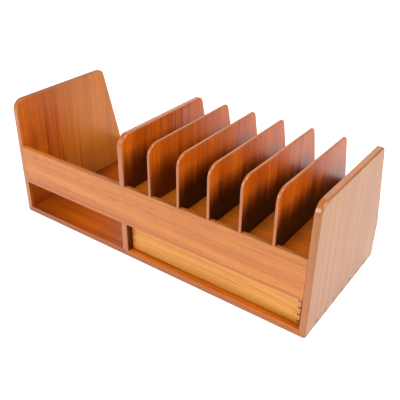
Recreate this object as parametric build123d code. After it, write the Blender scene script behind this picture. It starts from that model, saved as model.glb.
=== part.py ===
from build123d import *
import math
import os

# Envelope sorter with a drawer, in millimetres. +Z is up, the front faces -Y, and
# the origin lies on the underside, at the middle of the case.
#
# From left to right: an end panel, a tall open bay, the partition, six envelope
# slots over a shallow drawer, and the other end panel. All upright boards share one
# side outline, whose rear edge leans forward above the rear board.

# ---- Case --------------------------------------------------------------------
case_length = 600.0
case_depth = 258.0
case_height = 228.0
top_depth = 218.5  # depth of the upright boards along their top edges
lean_height = 73.0  # rear edges are upright up to here, and lean forward above

end_thickness = 11.0
bottom_thickness = 12.5
partition_thickness = 11.0
left_bay_width = 237.0  # from the left end panel to the partition

opening_height = 54.0  # from the bottom board to the underside of the rail
rail_height = 73.0
rail_thickness = 8.0
rear_board_thickness = 8.0
bay_board_height = 51.5  # the rear board is lower behind the open bay

sorter_floor_thickness = 8.0
sorter_floor_drop = 12.5  # from the rail's top edge down to the sorter floor
divider_count = 5
divider_thickness = 5.0
housing_depth = 3.0  # grooves that hold the sorter floor and the dividers

kicker_width = 10.0  # strips over the drawer sides that stop it tipping
kicker_height = 10.0
guide_thickness = 4.7  # strip beside the drawer on the right end panel

# ---- Rounding of the case ----------------------------------------------------
front_corner_radius = 20.0
rear_corner_radius = 12.0
foot_corner_radius = 3.2
lean_blend_radius = 40.0
end_outer_arris = 3.0
end_inner_arris = 0.8
partition_arris = 2.5
divider_arris = 1.8
rail_top_arris = 2.0
board_arris = 0.6

# ---- Drawer ------------------------------------------------------------------
drawer_recess = 11.5  # from the rail's face back to the drawer front
drawer_left_gap = 2.0
drawer_right_gap = 1.2  # beside the guide strip
drawer_running_gap = 0.3  # under the drawer sides
drawer_top_gap = 1.0
drawer_rear_gap = 0.5
drawer_front_gap = 0.7  # the front hangs this much clear of the sides' lower edges
drawer_front_thickness = 9.0
drawer_side_thickness = 5.0
drawer_back_thickness = 7.0
drawer_bottom_thickness = 4.0
drawer_bottom_lift = 4.0  # from the sides' lower edges up to the drawer bottom
drawer_groove_depth = 2.5

finger_scoop_width = 110.0
finger_scoop_depth = 7.0

tail_height = 4.2  # a dovetail's height where it shows on the face
tail_root_height = 2.8
tail_pitch = 12.8
first_tail_lift = 4.5  # from the side's lower edge to the first tail's centre

# ---- Dovetails between the bottom board and the end panels -------------------
pin_count = 7
pin_pitch = 30.3
pin_foot_width = 6.0  # at the underside
pin_top_width = 9.0
mitre_depth = 12.0  # the front corners are mitred this far back

# ---- Dowels and screws -------------------------------------------------------
partition_dowel_radius = 3.0
partition_dowel_length = 18.0
partition_dowel_depth = 8.0  # in the bottom board
slim_dowel_radius = 2.0
slim_dowel_length = 16.0
dowel_depth_in_end = 7.0
dowel_fit = 0.1
dowel_end_space = 0.5
dowel_chamfer = 0.5
partition_dowel_count = 3
rail_dowel_count = 2

screw_radius = 1.5
screw_head_radius = 2.8
screw_head_height = 1.8
screw_fit = 0.1
kicker_screw_length = 17.0
kicker_screw_count = 3
drawer_screw_length = 13.0
drawer_screw_count = 3

# ---- Places worked out from the sizes ----------------------------------------
case_left = -case_length / 2
case_right = case_length / 2
case_front = -case_depth / 2
case_rear = case_depth / 2

inner_left = case_left + end_thickness
inner_right = case_right - end_thickness
partition_left = inner_left + left_bay_width
sorter_left = partition_left + partition_thickness
slot_width = (
    inner_right - sorter_left - divider_count * divider_thickness
) / (divider_count + 1)

opening_top = bottom_thickness + opening_height
rail_top = opening_top + rail_height
rail_back = case_front + rail_thickness
sorter_floor_top = rail_top - sorter_floor_drop
sorter_floor_underside = sorter_floor_top - sorter_floor_thickness
rear_board_inside = case_rear - rear_board_thickness
bay_board_top = bottom_thickness + bay_board_height
kicker_top = opening_top + kicker_height

lean_slope = (case_depth - top_depth) / (case_height - lean_height)
lean_angle = math.atan(lean_slope)
lean_board_run = rear_board_thickness / math.cos(lean_angle)


def rear_edge(z):
    """Y of the upright boards' rear edge at height z, above the lean height."""
    return case_rear - (z - lean_height) * lean_slope


def lean_board_inside(z):
    """Y of the leaning rear board's inner face at height z."""
    return rear_edge(z) - lean_board_run


# ---- Helpers -----------------------------------------------------------------
def block(x_range, y_range, z_range):
    """A rectangular board between the given limits."""
    low = [limits[0] for limits in (x_range, y_range, z_range)]
    size = [limits[1] - limits[0] for limits in (x_range, y_range, z_range)]
    corner = (Align.MIN, Align.MIN, Align.MIN)
    return Pos(*low) * Box(*size, align=corner)


def plate(outline, x_low, thickness):
    """A board that stands across the case: a closed (y, z) outline, thick along X."""
    face = outline if isinstance(outline, Sketch) else polygon_face(outline)
    return extrude(Plane.YZ.offset(x_low) * face, amount=thickness)


def polygon_face(points):
    return Sketch() + make_face(Polyline(*points, close=True))


def round_corner(face, point, radius):
    """Rounds the corner of a flat face that lies at the given point."""
    nearest = face.vertices().sort_by_distance((point[0], point[1], 0))[0]
    return fillet([nearest], radius)


def edges_along_x(solid, y, z):
    """The edges along X that cross the point (y, z) of the section."""
    reach = 0.01
    along = solid.edges().filter_by(Axis.X)
    return [
        edge
        for edge in along
        if math.hypot(edge.center().Y - y, edge.center().Z - z) < reach
    ]


def outline_edges(solid, x, above):
    """The edges in the plane at x whose middles lie higher than the given height."""
    reach = 0.01
    found = []
    for edge in solid.edges():
        box = edge.bounding_box()
        in_plane = abs(box.min.X - x) < reach and abs(box.max.X - x) < reach
        if in_plane and edge.center().Z > above + reach:
            found.append(edge)
    return found


def rod(start, direction, radius, length):
    """A round bar that starts at a point and runs along a direction."""
    base = (Align.CENTER, Align.CENTER, Align.MIN)
    return Plane(origin=start, z_dir=direction) * Cylinder(radius, length, align=base)


def dowel(start, direction, radius, length):
    pin = rod(start, direction, radius, length)
    return chamfer(pin.edges().filter_by(GeomType.CIRCLE), dowel_chamfer)


def dowel_hole(start, direction, radius, length):
    """A dowel's hole, a little wider and longer than the dowel at both ends."""
    step = Vector(*direction).normalized() * dowel_end_space
    hole_start = Vector(*start) - step
    return rod(hole_start, direction, radius + dowel_fit, length + 2 * dowel_end_space)


def screw(start, direction, length):
    """A countersunk screw: the head's flat face lies at the start point."""
    place = Plane(origin=start, z_dir=direction)
    base = (Align.CENTER, Align.CENTER, Align.MIN)
    head = Cone(screw_head_radius, screw_radius, screw_head_height, align=base)
    shank = Cylinder(screw_radius, length, align=base)
    slot_size = (2 * screw_head_radius, screw_head_radius / 4, screw_head_height / 2)
    slot = Box(*slot_size, align=base)
    return place * (head + shank - slot)


def screw_hole(start, direction, length):
    place = Plane(origin=start, z_dir=direction)
    base = (Align.CENTER, Align.CENTER, Align.MIN)
    mouth = screw_head_radius + screw_fit
    bore = screw_radius + screw_fit
    sink = Cone(mouth, bore, screw_head_height + screw_fit, align=base)
    return place * (sink + Cylinder(bore, length + dowel_end_space, align=base))


def spaced(low, high, count):
    """Count places between two limits, with half a space left at each end."""
    step = (high - low) / count
    return [low + step * (index + 0.5) for index in range(count)]


def group(solids):
    return Compound(children=list(solids))


# ---- Upright boards ----------------------------------------------------------
below_all = -1.0


def end_blank(x_low, outer_x):
    """An end panel down to the floor, with only its outer arris rounded."""
    front_top = (case_front, case_height)
    rear_top = (case_front + top_depth, case_height)
    rear_bend = (case_rear, lean_height)
    feet = [(case_rear, 0.0), (case_front, 0.0)]
    face = polygon_face([front_top, rear_top, rear_bend] + feet)
    face = round_corner(face, front_top, front_corner_radius)
    face = round_corner(face, rear_top, rear_corner_radius)
    face = round_corner(face, rear_bend, lean_blend_radius)
    for foot in feet:
        face = round_corner(face, foot, foot_corner_radius)
    panel = plate(face, x_low, end_thickness)
    return fillet(outline_edges(panel, outer_x, below_all), end_outer_arris)


def end_panel(blank, inner_x, joint):
    """An end panel from its blank, cut out for the bottom board's end."""
    panel = fillet(outline_edges(blank, inner_x, below_all), end_inner_arris)
    return panel - joint


def foot_joint(x_low, inner_x, outer_x):
    """The room that the bottom board's end takes up in an end panel: its dovetail
    pins and the lower half of the mitred front corner."""
    triangle = polygon_face(
        [(inner_x, 0.0), (inner_x, bottom_thickness), (outer_x, 0.0)]
    )
    mitre_back = Plane.XZ.offset(-(case_front + mitre_depth))
    joint = extrude(mitre_back * triangle, amount=mitre_depth)
    foot = pin_foot_width / 2
    top = pin_top_width / 2
    for index in range(pin_count):
        y = (index - (pin_count - 1) / 2) * pin_pitch
        joint += plate(
            [
                (y - foot, 0.0),
                (y + foot, 0.0),
                (y + top, bottom_thickness),
                (y - top, bottom_thickness),
            ],
            x_low,
            end_thickness,
        )
    return joint


def rounded_top(points):
    """A face from its outline, with the two top corners of an upright board."""
    front_top = (case_front, case_height)
    rear_top = (case_front + top_depth, case_height)
    face = polygon_face(points + [rear_top, front_top])
    face = round_corner(face, front_top, front_corner_radius)
    return round_corner(face, rear_top, rear_corner_radius)


def partition_board():
    """The full-height board beside the sorter, notched for the rail in front and
    for the rear board behind."""
    face = rounded_top(
        [
            (case_front, rail_top),
            (rail_back, rail_top),
            (rail_back, opening_top),
            (case_front, opening_top),
            (case_front, bottom_thickness),
            (rear_board_inside, bottom_thickness),
            (rear_board_inside, lean_height),
            (case_rear, lean_height),
        ]
    )
    board = plate(face, partition_left, partition_thickness)
    for x in (partition_left, sorter_left):
        board = fillet(outline_edges(board, x, rail_top), partition_arris)
    return board


def divider_board(x_low):
    """A thin divider that sits in the sorter floor and laps over the rail in front
    and the leaning board behind."""
    foot = sorter_floor_top - housing_depth
    face = rounded_top(
        [
            (case_front, rail_top),
            (rail_back, rail_top),
            (rail_back, foot),
            (lean_board_inside(foot), foot),
            (lean_board_inside(rail_top), rail_top),
            (rear_edge(rail_top), rail_top),
        ]
    )
    board = plate(face, x_low, divider_thickness)
    for x in (x_low, x_low + divider_thickness):
        board = fillet(outline_edges(board, x, rail_top), divider_arris)
    return board


# ---- Boards along the case ---------------------------------------------------
def bottom_board():
    """The bottom board between the end panels, without its dovetail pins."""
    board = block(
        (inner_left, inner_right), (case_front, case_rear), (0.0, bottom_thickness)
    )
    feet = edges_along_x(board, case_front, 0.0)
    feet += edges_along_x(board, case_rear, 0.0)
    board = fillet(feet, foot_corner_radius)
    return fillet(edges_along_x(board, case_front, bottom_thickness), board_arris)


def front_rail():
    rail = block(
        (inner_left, inner_right), (case_front, rail_back), (opening_top, rail_top)
    )
    rail = fillet(edges_along_x(rail, case_front, rail_top), rail_top_arris)
    eased = edges_along_x(rail, rail_back, rail_top)
    eased += edges_along_x(rail, case_front, opening_top)
    eased += edges_along_x(rail, rail_back, opening_top)
    return fillet(eased, board_arris)


def rear_board():
    """Low board along the whole back, stepped down behind the open bay."""
    across = (rear_board_inside, case_rear)
    board = block((inner_left, inner_right), across, (bottom_thickness, lean_height))
    return board - block(
        (inner_left, partition_left), across, (bay_board_top, lean_height)
    )


def leaning_board():
    """Upper board behind the slots. It leans with the upright boards and ends level
    with the rail."""
    outline = [
        (case_rear, lean_height),
        (rear_edge(rail_top), rail_top),
        (lean_board_inside(rail_top), rail_top),
        (lean_board_inside(lean_height), lean_height),
    ]
    board = plate(outline, sorter_left, inner_right - sorter_left)
    eased = edges_along_x(board, rear_edge(rail_top), rail_top)
    eased += edges_along_x(board, lean_board_inside(rail_top), rail_top)
    return fillet(eased, board_arris)


def sorter_floor_blank():
    """The sorter floor with its two tongues, before it is grooved for dividers."""
    outline = [
        (rail_back, sorter_floor_underside),
        (rail_back, sorter_floor_top),
        (lean_board_inside(sorter_floor_top), sorter_floor_top),
        (lean_board_inside(sorter_floor_underside), sorter_floor_underside),
    ]
    length = inner_right - sorter_left + 2 * housing_depth
    return plate(outline, sorter_left - housing_depth, length)


def kicker(x_low):
    rear = min(rear_board_inside, lean_board_inside(kicker_top))
    return block(
        (x_low, x_low + kicker_width), (rail_back, rear), (opening_top, kicker_top)
    )


def guide_strip():
    """Strip that fills the room beside the drawer, behind its front."""
    return block(
        (inner_right - guide_thickness, inner_right),
        (drawer_front_back, rear_board_inside),
        (bottom_thickness, opening_top),
    )


# ---- Drawer ------------------------------------------------------------------
drawer_left = sorter_left + drawer_left_gap
drawer_right = inner_right - guide_thickness - drawer_right_gap
drawer_face = case_front + drawer_recess
drawer_rear = rear_board_inside - drawer_rear_gap
drawer_foot = bottom_thickness + drawer_running_gap
drawer_top = opening_top - drawer_top_gap
drawer_front_back = drawer_face + drawer_front_thickness
drawer_back_front = drawer_rear - drawer_back_thickness
drawer_inner_left = drawer_left + drawer_side_thickness
drawer_inner_right = drawer_right - drawer_side_thickness
drawer_bottom_low = drawer_foot + drawer_bottom_lift
drawer_bottom_high = drawer_bottom_low + drawer_bottom_thickness

tail_room = drawer_top - drawer_foot - first_tail_lift - tail_height
tail_count = int(tail_room / tail_pitch) + 1
tail_centres = [
    drawer_foot + first_tail_lift + index * tail_pitch for index in range(tail_count)
]
back_tail_centres = [z for z in tail_centres if z - tail_height > drawer_bottom_high]


def tails(x_low, face_y, root_y, centres):
    """Dovetails at one end of a drawer side, wider at the face than at the root."""
    wide = tail_height / 2
    slim = tail_root_height / 2
    return [
        plate(
            [
                (face_y, z - wide),
                (face_y, z + wide),
                (root_y, z + slim),
                (root_y, z - slim),
            ],
            x_low,
            drawer_side_thickness,
        )
        for z in centres
    ]


def front_tails(x_low):
    return tails(x_low, drawer_face, drawer_front_back, tail_centres)


def back_tails(x_low):
    return tails(x_low, drawer_rear, drawer_back_front, back_tail_centres)


def drawer_bottom_panel():
    """The drawer's bottom, with its front edge between the sides stepped forward
    into the groove of the drawer front."""
    heights = (drawer_bottom_low, drawer_bottom_high)
    sheet = block(
        (
            drawer_inner_left - drawer_groove_depth,
            drawer_inner_right + drawer_groove_depth,
        ),
        (drawer_front_back, drawer_rear),
        heights,
    )
    step = block(
        (drawer_inner_left, drawer_inner_right),
        (drawer_front_back - drawer_groove_depth, drawer_front_back),
        heights,
    )
    return sheet + step


def drawer_side(x_low):
    across = (x_low, x_low + drawer_side_thickness)
    side = block(
        across, (drawer_front_back, drawer_back_front), (drawer_foot, drawer_top)
    )
    heel = block(
        across, (drawer_back_front, drawer_rear), (drawer_foot, drawer_bottom_high)
    )
    side = side + heel + front_tails(x_low) + back_tails(x_low)
    return side - drawer_bottom_panel()


def drawer_front_board():
    board = block(
        (drawer_left, drawer_right),
        (drawer_face, drawer_front_back),
        (drawer_foot + drawer_front_gap, drawer_top),
    )
    scoop_radius = (
        finger_scoop_width**2 / 4 + finger_scoop_depth**2
    ) / (2 * finger_scoop_depth)
    middle = (drawer_left + drawer_right) / 2
    scoop_start = (
        middle, drawer_face - board_arris, drawer_top - finger_scoop_depth + scoop_radius
    )
    scoop_length = drawer_front_thickness + 2 * board_arris
    board -= rod(scoop_start, (0, 1, 0), scoop_radius, scoop_length)
    board = fillet(
        edges_along_x(board, drawer_face, drawer_foot + drawer_front_gap), board_arris
    )
    for x_low in (drawer_left, drawer_inner_right):
        for tail in front_tails(x_low):
            board -= tail
    return board - drawer_bottom_panel()


def drawer_back_board():
    board = block(
        (drawer_left, drawer_right),
        (drawer_back_front, drawer_rear),
        (drawer_bottom_high, drawer_top),
    )
    for x_low in (drawer_left, drawer_inner_right):
        for tail in back_tails(x_low):
            board -= tail
    return board


# ---- Places of the dowels and screws: (start, direction, radius, length) ------
def pairs_into_ends(y, z, radius, length, depth, left_face, right_face):
    """One dowel at each end of a board that runs along X, at the same y and z."""
    return [
        ((left_face - depth, y, z), (1, 0, 0), radius, length),
        ((right_face + depth, y, z), (-1, 0, 0), radius, length),
    ]


partition_middle = partition_left + partition_thickness / 2
partition_dowels = [
    (
        (partition_middle, y, bottom_thickness - partition_dowel_depth),
        (0, 0, 1),
        partition_dowel_radius,
        partition_dowel_length,
    )
    for y in spaced(rail_back, rear_board_inside, partition_dowel_count)
]

rail_dowels = []
for z in spaced(opening_top, rail_top, rail_dowel_count):
    rail_dowels += pairs_into_ends(
        case_front + rail_thickness / 2, z, slim_dowel_radius, slim_dowel_length,
        dowel_depth_in_end, inner_left, inner_right,
    )

rear_dowels = []
for z in spaced(bottom_thickness, bay_board_top, rail_dowel_count):
    rear_dowels += pairs_into_ends(
        case_rear - rear_board_thickness / 2, z, slim_dowel_radius, slim_dowel_length,
        dowel_depth_in_end, inner_left, inner_right,
    )
for z in spaced(lean_height, rail_top, rail_dowel_count):
    rear_dowels += pairs_into_ends(
        rear_edge(z) - lean_board_run / 2, z, slim_dowel_radius, slim_dowel_length,
        dowel_depth_in_end, sorter_left, inner_right,
    )

kicker_middle = (opening_top + kicker_top) / 2
kicker_screws = []
for y in spaced(rail_back, rear_board_inside, kicker_screw_count):
    left_start = (sorter_left + kicker_width, y, kicker_middle)
    right_start = (inner_right - kicker_width, y, kicker_middle)
    kicker_screws.append((left_start, (-1, 0, 0), kicker_screw_length))
    kicker_screws.append((right_start, (1, 0, 0), kicker_screw_length))

drawer_screws = [
    (
        (x, (drawer_back_front + drawer_rear) / 2, drawer_bottom_low),
        (0, 0, 1),
        drawer_screw_length,
    )
    for x in spaced(drawer_inner_left, drawer_inner_right, drawer_screw_count)
]


def drilled(board, dowels=(), screws=()):
    """A board with the holes of the dowels and screws that enter it."""
    for place in dowels:
        board -= dowel_hole(*place)
    for place in screws:
        board -= screw_hole(*place)
    return board


# ---- Build -------------------------------------------------------------------
floor_blank = sorter_floor_blank()
divider_lefts = [
    sorter_left + slot_width + index * (slot_width + divider_thickness)
    for index in range(divider_count)
]
dividers = [divider_board(x_low) for x_low in divider_lefts]

sorter_floor = floor_blank
for divider in dividers:
    sorter_floor -= divider

left_blank = end_blank(case_left, case_left)
right_blank = end_blank(inner_right, case_right)
left_joint = foot_joint(case_left, inner_left, case_left)
right_joint = foot_joint(inner_right, inner_right, case_right)
dovetailed_bottom = (
    bottom_board() + (left_blank & left_joint) + (right_blank & right_joint)
)

case_dowels = rail_dowels + rear_dowels

parts = {
    "left_end_panel": drilled(
        end_panel(left_blank, inner_left, left_joint), case_dowels
    ),
    "right_end_panel": drilled(
        end_panel(right_blank, inner_right, right_joint) - floor_blank,
        case_dowels,
        kicker_screws,
    ),
    "partition": drilled(
        partition_board() - floor_blank, partition_dowels + rear_dowels, kicker_screws
    ),
    "bottom_board": drilled(dovetailed_bottom, partition_dowels),
    "front_rail": drilled(front_rail(), rail_dowels),
    "rear_board": drilled(rear_board(), rear_dowels),
    "leaning_rear_board": drilled(leaning_board(), rear_dowels),
    "sorter_floor": sorter_floor,
    "kicker_left": drilled(kicker(sorter_left), screws=kicker_screws),
    "kicker_right": drilled(kicker(inner_right - kicker_width), screws=kicker_screws),
    "guide_strip": guide_strip(),
    "partition_dowels": group(dowel(*place) for place in partition_dowels),
    "rail_dowels": group(dowel(*place) for place in rail_dowels),
    "rear_board_dowels": group(dowel(*place) for place in rear_dowels),
    "kicker_screws": group(screw(*place) for place in kicker_screws),
    "drawer_front": drawer_front_board(),
    "drawer_side_left": drawer_side(drawer_left),
    "drawer_side_right": drawer_side(drawer_inner_right),
    "drawer_back": drilled(drawer_back_board(), screws=drawer_screws),
    "drawer_bottom": drilled(drawer_bottom_panel(), screws=drawer_screws),
    "drawer_bottom_screws": group(screw(*place) for place in drawer_screws),
}
for number, divider in enumerate(dividers, start=1):
    parts[f"divider_{number}"] = divider

os.makedirs("parts", exist_ok=True)
for name, part in parts.items():
    export_step(part, f"parts/{name}.step")
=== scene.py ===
import math

import bpy
from bpy.props import FloatProperty, FloatVectorProperty, PointerProperty
from mathutils import Euler, Matrix, Vector


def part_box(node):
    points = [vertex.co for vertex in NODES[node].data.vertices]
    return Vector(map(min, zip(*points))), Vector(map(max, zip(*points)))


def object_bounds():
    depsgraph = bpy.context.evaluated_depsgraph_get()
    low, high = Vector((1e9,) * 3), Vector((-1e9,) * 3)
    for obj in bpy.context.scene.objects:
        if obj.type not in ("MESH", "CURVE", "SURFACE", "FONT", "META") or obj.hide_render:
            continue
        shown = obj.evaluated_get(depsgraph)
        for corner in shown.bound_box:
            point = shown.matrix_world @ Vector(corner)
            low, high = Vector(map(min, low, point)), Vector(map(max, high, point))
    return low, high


bl_info = {
    "name": "Envelope sorter with drawer",
    "version": (1, 0, 0),
    "blender": (4, 5, 0),
    "location": "3D View > Sidebar > Sorter",
    "description": "Finishes the teak envelope sorter and sets the studio around it",
    "category": "Object",
}

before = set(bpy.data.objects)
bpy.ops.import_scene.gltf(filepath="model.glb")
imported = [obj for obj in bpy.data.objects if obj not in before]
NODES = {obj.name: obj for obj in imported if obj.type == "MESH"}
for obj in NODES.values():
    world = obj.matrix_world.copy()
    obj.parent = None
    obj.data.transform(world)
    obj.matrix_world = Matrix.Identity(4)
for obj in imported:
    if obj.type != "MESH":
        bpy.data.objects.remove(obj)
CAD_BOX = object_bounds()

# Faces of the case that the finishes are set out from, in metres.
LEFT, RIGHT = (corner[0] for corner in CAD_BOX)
FRONT, TOP = CAD_BOX[0][1], CAD_BOX[1][2]
CORNER_RADIUS = 0.02  # front corner of every upright board

# The axes across the grain are 1, and the axis along it is 0.
UPRIGHT_GRAIN = (1.0, 1.0, 0.0)
LENGTHWISE_GRAIN = (0.0, 1.0, 1.0)
DEEP_GRAIN = (1.0, 0.0, 1.0)

# Boards that differ from the plain teak: dark bands, main colour and light bands.
OLD_TEAK = ((0.15, 0.018, 0.0005), (0.37, 0.062, 0.001), (0.52, 0.125, 0.006))
TAN_TEAK = ((0.17, 0.034, 0.005), (0.36, 0.108, 0.018), (0.5, 0.185, 0.036))
BRIGHT_TEAK = ((0.36, 0.06, 0.001), (0.58, 0.13, 0.003), (0.74, 0.22, 0.008))
GOLDEN_TEAK = ((0.3, 0.088, 0.008), (0.46, 0.183, 0.026), (0.6, 0.275, 0.055))
PALE_OUTER_TEAK = ((0.13, 0.048, 0.006), (0.21, 0.082, 0.012), (0.28, 0.12, 0.024))


# ---- Sizes and colours that a user would change ------------------------------
def colour_choice(name, description, default):
    """A colour with a swatch in the panel."""
    return FloatVectorProperty(
        name=name, description=description, default=default,
        subtype="COLOR", size=3, min=0.0, max=1.0,
    )


def share_choice(name, description, default):
    """A slider from 0 to 1."""
    return FloatProperty(
        name=name, description=description, default=default,
        subtype="FACTOR", min=0.0, max=1.0,
    )


def power_choice(name, description, default):
    """The power of a light in watts."""
    return FloatProperty(
        name=name, description=description, default=default, subtype="POWER", min=0.0
    )


def angle_choice(name, description, degrees):
    """An angle, given in degrees here and kept in radians."""
    return FloatProperty(
        name=name, description=description, default=math.radians(degrees), subtype="ANGLE"
    )


class TeakColours(bpy.types.PropertyGroup):
    """Colours and polish of the oiled teak."""

    heart: colour_choice("Heart", "Darkest bands of the figure", (0.15, 0.022, 0.001))
    body: colour_choice("Body", "Main colour of the wood", (0.36, 0.083, 0.004))
    gold: colour_choice("Gold", "Lightest bands of the figure", (0.52, 0.155, 0.014))
    pore: colour_choice("Pore", "Fine dark lines of open grain", (0.05, 0.012, 0.002))
    # Painted shade: a dark colour multiplied into the faces between the dividers, low down.
    slot_shade: colour_choice(
        "Patina", "Old dark oil that stays between the dividers", (0.07, 0.022, 0.02)
    )
    # Painted highlight: a paler colour along the rims of upright boards.
    highlit: colour_choice("Worn", "Handled rims of upright boards", (0.27, 0.1, 0.03))
    roughness: share_choice("Roughness", "Roughness of the oiled surface", 0.36)
    coat: share_choice("Coat", "Strength of the rubbed finish over the wood", 0.04)
    # The rims of upright boards carry a painted highlight; this coat adds real glints on
    # them.
    rim_polish: share_choice(
        "Rim polish", "Extra coat on the worn rims of upright boards", 0.35
    )


class StudioSettings(bpy.types.PropertyGroup):
    """The camera, the lights and the floor."""

    camera_place: FloatVectorProperty(
        name="Camera place", description="Where the camera stands",
        subtype="TRANSLATION", unit="LENGTH", size=3, default=(0.5346, -0.7300, 0.6111),
    )
    azimuth: angle_choice("Azimuth", "How far the view turns from straight on", 35.217)
    elevation: angle_choice("Elevation", "How far the camera looks down", 30.975)
    roll: angle_choice("Roll", "Turn of the camera about its own view", 0.741)
    lens: FloatProperty(
        name="Lens", description="Focal length on a 36 mm wide sensor",
        subtype="DISTANCE_CAMERA", default=52.635,
    )
    floor_colour: colour_choice("Floor", "Colour of the pale floor", (0.92, 0.92, 0.92))
    floor_glow: FloatProperty(
        name="Floor glow", description="How much the lit floor shines by itself",
        min=0.0, default=0.5,
    )
    ambient: FloatProperty(
        name="Ambient", description="Strength of the white surroundings",
        min=0.0, default=0.15,
    )
    key_power: power_choice("Key", "Power of the large light at the front", 49.0)
    side_power: power_choice("Side", "Power of the light at the drawer end", 52.0)
    top_power: power_choice("Top", "Power of the light over the slots", 14.0)
    rear_power: power_choice("Rear", "Power of the light behind the case", 12.0)


# ---- Shader building ---------------------------------------------------------
class Number:
    """A number that varies over a material. Python arithmetic on it adds Math nodes."""

    def __init__(self, finish, socket):
        self.finish = finish
        self.socket = socket

    def _maths(self, operation, *values):
        node = self.finish.add("ShaderNodeMath", {"operation": operation}, values)
        return Number(self.finish, node.outputs[0])

    def __add__(self, other):
        return self._maths("ADD", self, other)

    def __radd__(self, other):
        return self._maths("ADD", other, self)

    def __sub__(self, other):
        return self._maths("SUBTRACT", self, other)

    def __rsub__(self, other):
        return self._maths("SUBTRACT", other, self)

    def __mul__(self, other):
        return self._maths("MULTIPLY", self, other)

    def __rmul__(self, other):
        return self._maths("MULTIPLY", other, self)

    def absolute(self):
        return self._maths("ABSOLUTE", self)

    def above_zero(self):
        """The number itself, or 0 where it is less."""
        return self._maths("MAXIMUM", self, 0.0)

    def clamped(self):
        """The number held between 0 and 1."""
        node = self.finish.add("ShaderNodeClamp", {}, [self, 0.0, 1.0])
        return Number(self.finish, node.outputs[0])


class Finish:
    """A material under construction, with one Principled shader. Its x, y and z are
    the place on the piece in metres, measured from the case's own origin."""

    def __init__(self, name):
        self.material = bpy.data.materials.new(name)
        self.material.use_nodes = True
        self.tree = self.material.node_tree
        self.shader = self.tree.nodes["Principled BSDF"]
        self.look = bpy.context.scene.teak_colours
        self.place = self.add("ShaderNodeTexCoord").outputs["Object"]
        axes = self.add("ShaderNodeSeparateXYZ", {}, [self.place]).outputs
        self.x, self.y, self.z = (Number(self, axis) for axis in axes)

    def add(self, kind, settings=None, values=()):
        """Adds a node: its settings first, then the values or links of its sockets,
        as a list in socket order or a dict by socket name or number."""
        node = self.tree.nodes.new(kind)
        for key, value in (settings or {}).items():
            if key == "stops":
                self._set_stops(node.color_ramp, value)
            else:
                setattr(node, key, value)
        pairs = values.items() if isinstance(values, dict) else enumerate(values)
        for key, value in pairs:
            self.put(node.inputs[key], value)
        return node

    def _set_stops(self, ramp, stops):
        while len(ramp.elements) < len(stops):
            ramp.elements.new(0.5)
        for element, (position, colour) in zip(ramp.elements, stops):
            element.position = position
            element.color = (*colour, 1.0)

    def put(self, socket, value):
        """Links a socket to a value's node, or sets a plain number or colour on it."""
        if isinstance(value, Number):
            value = value.socket
        if isinstance(value, bpy.types.NodeSocket):
            self.tree.links.new(value, socket)
        elif hasattr(socket.default_value, "__len__"):
            socket.default_value = (*value, 1.0)[:len(socket.default_value)]
        else:
            socket.default_value = value

    def surface(self, values):
        """Sets or links sockets of the shader, by their names."""
        for name, value in values.items():
            self.put(self.shader.inputs[name], value)

    def noise(self, scale, shift=(0.0, 0.0, 0.0), detail=2.0, roughness=0.5, distortion=0.0):
        """Soft noise around 0.5, with its waves per metre along x, y and z."""
        mapping = {"Vector": self.place, "Scale": scale, "Location": shift}
        scaled = self.add("ShaderNodeMapping", {}, mapping).outputs[0]
        values = {
            "Vector": scaled, "Scale": 1.0, "Detail": detail,
            "Roughness": roughness, "Distortion": distortion,
        }
        return Number(self, self.add("ShaderNodeTexNoise", {}, values).outputs[0])

    def grain(self, across, waves_across, waves_along, shift, **kwargs):
        """Noise that is drawn out along the grain, in waves per metre."""
        scale = tuple(waves_across if axis else waves_along for axis in across)
        return self.noise(scale, shift, **kwargs)

    def ramp(self, factor, colours, low=0.0, high=1.0):
        """Colours in even steps, from low to high on the factor."""
        step = (high - low) / (len(colours) - 1)
        stops = [(low + step * index, colour) for index, colour in enumerate(colours)]
        return self.add("ShaderNodeValToRGB", {"stops": stops}, [factor]).outputs[0]

    def step(self, value, low, high):
        """0 below low, 1 above high, and smooth between them."""
        settings = {"interpolation_type": "SMOOTHSTEP"}
        values = {"Value": value, "From Min": low, "From Max": high}
        node = self.add("ShaderNodeMapRange", settings, values)
        return Number(self, node.outputs[0])

    def line(self, value, half_width):
        """1 where the value is zero, fading to 0 at the half width on both sides."""
        return 1.0 - self.step(value.absolute(), 0.25 * half_width, half_width)

    def mix(self, factor, first, second, blend="MIX"):
        """The first colour where the factor is 0, the second where it is 1. Sockets 6
        and 7 of a Mix node hold its colours."""
        settings = {"data_type": "RGBA", "blend_type": blend}
        node = self.add("ShaderNodeMix", settings, {0: factor, 6: first, 7: second})
        return node.outputs[2]

    def bump(self, height, strength, distance):
        """Fine relief for the shader's Normal, with its depth in metres."""
        values = {"Strength": strength, "Distance": distance, "Height": height}
        return self.add("ShaderNodeBump", {}, values).outputs[0]


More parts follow.
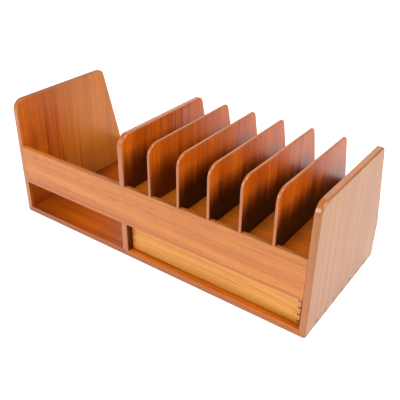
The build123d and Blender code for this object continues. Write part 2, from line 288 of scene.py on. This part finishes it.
# ---- Woods and metal ---------------------------------------------------------
def teak(name, across, seed, tone=0.0, colours=None, touch=None, figured=1.0):
    """Oiled teak. The seed picks the piece of wood, tone makes it lighter or darker,
    and figured scales its broad bands. A touch is a function that changes the colour
    in chosen places of the board."""
    finish = Finish(name)
    look = finish.look
    shift = tuple(seed * step for step in (1.7, 2.3, 3.1))

    def pattern(waves_across, waves_along, **kwargs):
        return finish.grain(across, waves_across, waves_along, shift, **kwargs)

    board = pattern(22.0, 1.4, detail=1.0)
    bands = pattern(85.0, 2.6, distortion=0.6)
    streaks = pattern(330.0, 6.0, detail=3.0, roughness=0.6)
    threads = pattern(1500.0, 18.0, detail=1.0)
    ripple = pattern(14.0, 60.0, detail=1.0)
    pores = finish.step(pattern(1900.0, 42.0, detail=1.0), 0.60, 0.72)
    dark_lines = finish.step(pattern(290.0, 3.5), 0.53, 0.66)

    middle_tone = 0.53 + tone
    figure = (
        middle_tone
        + (board - 0.5) * 0.55 * figured
        + (bands - 0.5) * 0.75 * figured
        + (streaks - 0.5) * 0.75
        + (threads - 0.5) * 0.4
        + (ripple - 0.5) * 0.14
    ).clamped()
    wood = finish.ramp(figure, colours or (look.heart, look.body, look.gold))
    wood = finish.mix(dark_lines * 0.42 * figured, wood, look.pore)
    wood = finish.mix(pores * 0.45, wood, look.pore)
    if touch:
        wood = touch(finish, wood, bands)

    coat = look.coat
    if across == UPRIGHT_GRAIN:
        coat = look.coat + rim(finish) * look.rim_polish
    height = threads * 0.3 + streaks * 0.25 - pores
    finish.surface({
        "Base Color": wood,
        "Roughness": look.roughness + (streaks - 0.5) * 0.16 + pores * 0.15,
        "Normal": finish.bump(height, strength=0.22, distance=0.0004),
        "Specular IOR Level": 0.3,
        "Coat Weight": coat,
        "Coat Roughness": 0.14,
    })
    return finish.material


def pale_wood(name, across, seed, dark, light, roughness):
    """Plain unpolished wood of the hidden pieces."""
    finish = Finish(name)
    shift = (seed, 2.0 * seed, 3.0 * seed)
    lines = finish.grain(across, 300.0, 8.0, shift, detail=3.0)
    fine = finish.grain(across, 1400.0, 30.0, shift, detail=1.0)
    figure = (lines * 0.7 + fine * 0.3).clamped()
    finish.surface({
        "Base Color": finish.ramp(figure, (dark, light), low=0.25, high=0.75),
        "Roughness": roughness + (lines - 0.5) * 0.2,
        "Normal": finish.bump(fine, strength=0.2, distance=0.0003),
    })
    return finish.material


def brass(name):
    """Plain brass of the screws, slightly dulled."""
    finish = Finish(name)
    spots = finish.noise((700.0, 700.0, 700.0))
    dull, clean_and_unshaded = (0.55, 0.36, 0.11), (0.83, 0.62, 0.27)
    finish.surface({
        "Base Color": finish.ramp(spots, (dull, clean_and_unshaded), low=0.3, high=0.7),
        "Metallic": 1.0,
        "Roughness": 0.28 + spots * 0.2,
    })
    return finish.material


# ---- Touches: figure, joints, painted shade and painted highlights on boards ---
def rim(finish):
    """1 along the front and top edges of an upright board and round its corner."""
    forward = (FRONT + CORNER_RADIUS - finish.y).above_zero()
    upward = (finish.z - (TOP - CORNER_RADIUS)).above_zero()
    fade_start = CORNER_RADIUS - 0.0022
    fade_end = CORNER_RADIUS - 0.0006
    return finish.step(forward * forward + upward * upward, fade_start**2, fade_end**2)


def painted_rim_highlight(finish, wood):
    """The wood with a painted highlight on its rims."""
    return finish.mix(0.6, wood, finish.look.highlit)


def painted_slot_shade(board, right_side, left_side):
    """A touch for an upright board in the sorter: painted shade low down on its two
    faces, as strong as given for each, and a painted highlight along its rim."""
    left, right = (corner[0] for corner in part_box(board))
    middle = (left + right) / 2
    full_below, gone_above = 0.157, 0.212  # heights between which the painted shade fades
    low_behind = -0.02  # behind this depth the painted shade reaches less high

    def touch(finish, wood, bands):
        on_right = finish.step(finish.x, middle - 0.001, middle + 0.001)
        strength = left_side + on_right * (right_side - left_side)
        # Painted shade: the dark colour multiplied into the faces low down.
        shaded = finish.mix(strength, wood, finish.look.slot_shade, "MULTIPLY")
        wave = (bands - 0.5) * 0.05
        drop = (finish.y - low_behind).above_zero() * 0.35
        clean_and_unshaded = finish.step(finish.z + wave + drop, full_below, gone_above)
        face = finish.mix(clean_and_unshaded, shaded, wood)
        # Painted highlight along the rim.
        return finish.mix(rim(finish), face, painted_rim_highlight(finish, wood))

    return touch


def pale_outer_face(finish, wood, bands):
    """Pale outer face of the right end panel, and a warmer rim."""
    tone = (0.5 + (bands - 0.5) * 1.1).clamped()
    face = finish.mix(0.8, wood, finish.ramp(tone, PALE_OUTER_TEAK))
    edge = finish.mix(rim(finish) * 0.6, wood, (0.25, 0.088, 0.02))
    outside = finish.step(finish.x, RIGHT - 0.0025, RIGHT - 0.0004)
    return finish.mix(outside, edge, face)


def left_inner_face(finish, wood, bands):
    """Redder wood with dark upright lines in front, paler wood behind."""
    red = finish.mix(1.0, wood, (1.05, 0.85, 0.6), "MULTIPLY")
    lines = finish.step(bands, 0.52, 0.68) * 0.5
    lined = finish.mix(lines, red, (0.16, 0.025, 0.001))
    pale = finish.mix(0.4, wood, (0.56, 0.2, 0.03))
    wave = (bands - 0.5) * 0.06
    face = finish.mix(finish.step(finish.y + wave, -0.07, 0.05), lined, pale)
    high_up = finish.step(finish.z, 0.17, 0.22)
    face = finish.mix(high_up * 0.3, face, (0.3, 0.08, 0.008))
    # Painted highlight along the rims and the outer arris.
    outer_arris = 1.0 - finish.step(finish.x, LEFT + 0.0015, LEFT + 0.0035)
    highlit = (rim(finish) + outer_arris).clamped()
    return finish.mix(highlit, face, painted_rim_highlight(finish, wood))


def rail_figure(finish, wood, bands):
    """A golden band over a narrow reddish one, along the front rail."""
    height = finish.z + (bands - 0.5) * 0.008
    gold_height = 0.0875 - (finish.x - 0.06) * 0.041
    red_height = 0.0725 - finish.x * 0.008
    gold = finish.line(height - gold_height, half_width=0.008)
    red = finish.line(height - red_height, half_width=0.004)
    wood = finish.mix(gold * 0.3, wood, (0.56, 0.2, 0.03))
    return finish.mix(red * 0.35, wood, (0.24, 0.04, 0.004))


def drawer_figure(finish, wood, bands):
    """Golden streaks that sink towards the drawer's ends, most at the right."""
    from_crown = finish.x - 0.06
    sag = from_crown * from_crown * 0.33
    height = finish.z + (bands - 0.5) * 0.006 + sag
    upper = finish.line(height - 0.0585, half_width=0.005)
    lower = finish.line(height - 0.043, half_width=0.004)
    wood = finish.mix((upper + lower).clamped() * 0.25, wood, (0.6, 0.27, 0.04))
    between = finish.line(height - 0.051, half_width=0.0025)
    return finish.mix(between * 0.2, wood, (0.28, 0.06, 0.003))


def end_grain(finish, wood, bands):
    """End grain of the dovetails on the drawer's face, dark at the right end."""
    drawer_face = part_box("drawer_front")[0][1]
    left_pins, right_pins = (0.4, 0.12, 0.008), (0.14, 0.035, 0.008)
    pins = finish.mix(finish.step(finish.x, 0.1, 0.2), left_pins, right_pins)
    dark = finish.mix(0.85, wood, pins)
    behind = finish.step(finish.y, drawer_face + 0.0003, drawer_face + 0.002)
    return finish.mix(behind, dark, wood)


def bottom_faces(finish, wood, bands):
    """Bright front strip, painted shade on the bay's floor, dull edges and dark end pins."""
    board_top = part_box("bottom_board")[1][2]
    bay_end = sum(corner[0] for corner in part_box("partition")) / 2

    # Painted shade: the bay's floor is darker and redder towards its left end and under the
    # rail.
    under_rail = finish.mix(
        finish.step(finish.x, -0.29, -0.14), (0.44, 0.28, 0.04), (0.82, 0.64, 0.25)
    )
    open_bay = finish.mix(
        finish.step(finish.x, -0.292, -0.245), (0.32, 0.18, 0.05), (0.95, 0.8, 0.4)
    )
    shade = finish.mix(finish.step(finish.y, -0.07, -0.04), under_rail, open_bay)
    in_bay = finish.mix(1.0, wood, shade, "MULTIPLY")
    past_bay = finish.step(finish.x, bay_end - 0.001, bay_end + 0.001)
    upper_face = finish.mix(past_bay, in_bay, wood)

    edges = finish.mix(0.8, upper_face, (0.2, 0.068, 0.022))
    above_edge = finish.step(finish.z, board_top - 0.0013, board_top - 0.0003)
    wood = finish.mix(above_edge, edges, upper_face)
    pins = finish.step(finish.x.absolute(), RIGHT - 0.0015, RIGHT - 0.0004)
    return finish.mix(pins * 0.95, wood, (0.02, 0.007, 0.003))


# ---- Pieces ------------------------------------------------------------------
def dress(names, material):
    """Gives CAD nodes a finish, in each of their material slots."""
    for name in names:
        for slot in NODES[name].material_slots:
            slot.material = material


class SORTER_OT_end_panels(bpy.types.Operator):
    """Finishes the two end panels"""

    bl_idname = "sorter.end_panels"
    bl_label = "End panels"

    def execute(self, context):
        dress(
            ["left_end_panel"],
            teak("left_end_teak", UPRIGHT_GRAIN, 3.0, touch=left_inner_face),
        )
        dress(
            ["right_end_panel"],
            teak("right_end_teak", UPRIGHT_GRAIN, 8.0, tone=-0.1, touch=pale_outer_face),
        )
        return {"FINISHED"}


class SORTER_OT_partition(bpy.types.Operator):
    """Finishes the thick partition"""

    bl_idname = "sorter.partition"
    bl_label = "Partition"

    def execute(self, context):
        # Painted shade on the partition's right face only.
        shading = painted_slot_shade("partition", right_side=0.7, left_side=0.0)
        dress(
            ["partition"],
            teak("partition_teak", UPRIGHT_GRAIN, 12.0, -0.04, OLD_TEAK, touch=shading),
        )
        return {"FINISHED"}


class SORTER_OT_dividers(bpy.types.Operator):
    """Finishes the thin dividers between the slots"""

    bl_idname = "sorter.dividers"
    bl_label = "Dividers"

    def execute(self, context):
        dividers = sorted(name for name in NODES if name.startswith("divider_"))
        strengths = (0.55, 0.97, 1.0, 1.0, 1.0)  # painted shade, from the first to the last
        for index, (name, strength) in enumerate(zip(dividers, strengths)):
            shading = painted_slot_shade(name, right_side=strength, left_side=0.75 * strength)
            seed = 21.0 + 3.7 * index
            wood = teak(
                f"{name}_teak", UPRIGHT_GRAIN, seed, -0.03, OLD_TEAK,
                touch=shading, figured=0.75,
            )
            dress([name], wood)
        return {"FINISHED"}


class SORTER_OT_case_boards(bpy.types.Operator):
    """Finishes the boards that run along the case"""

    bl_idname = "sorter.case_boards"
    bl_label = "Case boards"

    def execute(self, context):
        dress(
            ["front_rail"],
            teak(
                "rail_teak", LENGTHWISE_GRAIN, 5.0, 0.02, TAN_TEAK,
                touch=rail_figure, figured=0.45,
            ),
        )
        dress(
            ["bottom_board"],
            teak(
                "bottom_teak", LENGTHWISE_GRAIN, 9.0, colours=BRIGHT_TEAK,
                touch=bottom_faces,
            ),
        )
        dress(
            ["sorter_floor"],
            teak("floor_teak", LENGTHWISE_GRAIN, 14.0, 0.05, BRIGHT_TEAK, figured=0.4),
        )
        dress(
            ["rear_board", "leaning_rear_board"],
            teak("rear_teak", LENGTHWISE_GRAIN, 17.0),
        )
        dress(
            ["kicker_left", "kicker_right", "guide_strip"],
            pale_wood(
                "kicker_wood", DEEP_GRAIN, 2.0,
                dark=(0.3, 0.13, 0.05), light=(0.42, 0.21, 0.09), roughness=0.6,
            ),
        )
        return {"FINISHED"}


class SORTER_OT_drawer(bpy.types.Operator):
    """Finishes the drawer"""

    bl_idname = "sorter.drawer"
    bl_label = "Drawer"

    def execute(self, context):
        dress(
            ["drawer_front"],
            teak(
                "drawer_front_teak", LENGTHWISE_GRAIN, 27.0, colours=GOLDEN_TEAK,
                touch=drawer_figure, figured=0.4,
            ),
        )
        dress(
            ["drawer_side_left", "drawer_side_right"],
            teak("drawer_side_teak", DEEP_GRAIN, 31.0, tone=-0.2, touch=end_grain),
        )
        dress(
            ["drawer_back"],
            teak("drawer_back_teak", LENGTHWISE_GRAIN, 35.0, tone=-0.1),
        )
        dress(
            ["drawer_bottom"],
            pale_wood(
                "drawer_bottom_wood", LENGTHWISE_GRAIN, 4.0,
                dark=(0.48, 0.29, 0.15), light=(0.62, 0.42, 0.24), roughness=0.55,
            ),
        )
        return {"FINISHED"}


class SORTER_OT_fixings(bpy.types.Operator):
    """Finishes the dowels and screws"""

    bl_idname = "sorter.fixings"
    bl_label = "Dowels and screws"

    def execute(self, context):
        dress(
            ["partition_dowels", "rail_dowels", "rear_board_dowels"],
            pale_wood(
                "dowel_wood", UPRIGHT_GRAIN, 6.0,
                dark=(0.6, 0.42, 0.24), light=(0.72, 0.55, 0.34), roughness=0.6,
            ),
        )
        dress(["kicker_screws", "drawer_bottom_screws"], brass("screw_brass"))
        return {"FINISHED"}


# ---- Stage -------------------------------------------------------------------
def pale_floor(studio):
    """A wide round floor of faintly mottled paper that also shines by itself."""
    bpy.ops.object.select_all(action="DESELECT")
    bpy.ops.mesh.primitive_circle_add(
        vertices=96, radius=6.0, fill_type="NGON", location=(0.0, 0.0, 0.0)
    )
    floor = bpy.context.object
    floor.name = "pale_floor"
    paper = Finish("floor_paper")
    pale = tuple(studio.floor_colour)
    shade = tuple(0.985 * channel for channel in pale)
    mottle = paper.noise((3.0, 3.0, 3.0))
    paper.surface({
        "Base Color": paper.ramp(mottle, (shade, pale), low=0.3, high=0.7),
        "Roughness": 0.9,
        "Specular IOR Level": 0.1,
        "Emission Color": pale,
        "Emission Strength": studio.floor_glow,
    })
    floor.data.materials.append(paper.material)


def white_surroundings(studio):
    """Even white light from all around."""
    world = bpy.data.worlds.new("white_studio")
    bpy.context.scene.world = world
    world.use_nodes = True
    sky = world.node_tree.nodes["Background"]
    sky.inputs["Color"].default_value = (1.0, 1.0, 1.0, 1.0)
    sky.inputs["Strength"].default_value = studio.ambient


def softbox(name, place, size, power):
    """A rectangular soft light that faces the middle of the case."""
    lamp = bpy.data.lights.new(name, "AREA")
    lamp.shape = "RECTANGLE"
    lamp.size, lamp.size_y = size
    lamp.energy = power
    holder = bpy.data.objects.new(name, lamp)
    bpy.context.scene.collection.objects.link(holder)
    holder.location = place
    case_middle = Vector((0.0, 0.0, 0.1))
    aim = case_middle - Vector(place)
    holder.rotation_euler = aim.to_track_quat("-Z", "Y").to_euler()


def photo_camera(studio):
    """The camera, turned by azimuth and elevation and then rolled about its view."""
    lens = bpy.data.cameras.new("camera")
    lens.lens = studio.lens
    lens.sensor_width = 36.0  # millimetres
    camera = bpy.data.objects.new("camera", lens)
    bpy.context.scene.collection.objects.link(camera)
    tilt = Euler((math.pi / 2 - studio.elevation, 0.0, studio.azimuth)).to_matrix()
    turn = Matrix.Rotation(studio.roll, 3, "Z")
    camera.matrix_world = (tilt @ turn).to_4x4()
    camera.location = studio.camera_place
    bpy.context.scene.camera = camera


class SORTER_OT_stage(bpy.types.Operator):
    """Sets the pale floor, the soft lights and the camera"""

    bl_idname = "sorter.stage"
    bl_label = "Stage"

    def execute(self, context):
        scene = context.scene
        studio = scene.studio_settings
        scene.view_settings.view_transform = "Standard"
        scene.view_settings.look = "None"
        pale_floor(studio)
        white_surroundings(studio)
        softbox("front_softbox", (-0.7, -1.9, 1.15), (1.4, 1.1), studio.key_power)
        softbox("side_softbox", (1.6, 0.0, 1.45), (0.9, 0.9), studio.side_power)
        softbox("top_softbox", (0.3, 0.0, 2.1), (0.8, 0.8), studio.top_power)
        softbox("rear_softbox", (-0.9, 2.0, 1.3), (2.2, 1.0), studio.rear_power)
        photo_camera(studio)
        return {"FINISHED"}


# ---- Panel and start ---------------------------------------------------------
OPERATORS = (
    SORTER_OT_stage,
    SORTER_OT_end_panels,
    SORTER_OT_partition,
    SORTER_OT_dividers,
    SORTER_OT_case_boards,
    SORTER_OT_drawer,
    SORTER_OT_fixings,
)


class SORTER_PT_panel(bpy.types.Panel):
    """Lists the operators and the settings in the sidebar"""

    bl_label = "Envelope sorter"
    bl_idname = "SORTER_PT_panel"
    bl_space_type = "VIEW_3D"
    bl_region_type = "UI"
    bl_category = "Sorter"

    def draw(self, context):
        for operator in OPERATORS:
            self.layout.operator(operator.bl_idname)
        for group in (context.scene.teak_colours, context.scene.studio_settings):
            for name in group.bl_rna.properties.keys():
                if name not in ("rna_type", "name"):
                    self.layout.prop(group, name)


CLASSES = (TeakColours, StudioSettings, *OPERATORS, SORTER_PT_panel)


def register():
    for cls in CLASSES:
        bpy.utils.register_class(cls)
    bpy.types.Scene.teak_colours = PointerProperty(type=TeakColours)
    bpy.types.Scene.studio_settings = PointerProperty(type=StudioSettings)


def unregister():
    del bpy.types.Scene.studio_settings
    del bpy.types.Scene.teak_colours
    for cls in reversed(CLASSES):
        bpy.utils.unregister_class(cls)


def main():
    """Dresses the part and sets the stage."""
    register()
    bpy.ops.sorter.stage()
    bpy.ops.sorter.end_panels()
    bpy.ops.sorter.partition()
    bpy.ops.sorter.dividers()
    bpy.ops.sorter.case_boards()
    bpy.ops.sorter.drawer()
    bpy.ops.sorter.fixings()


if __name__ == "__main__":
    main()
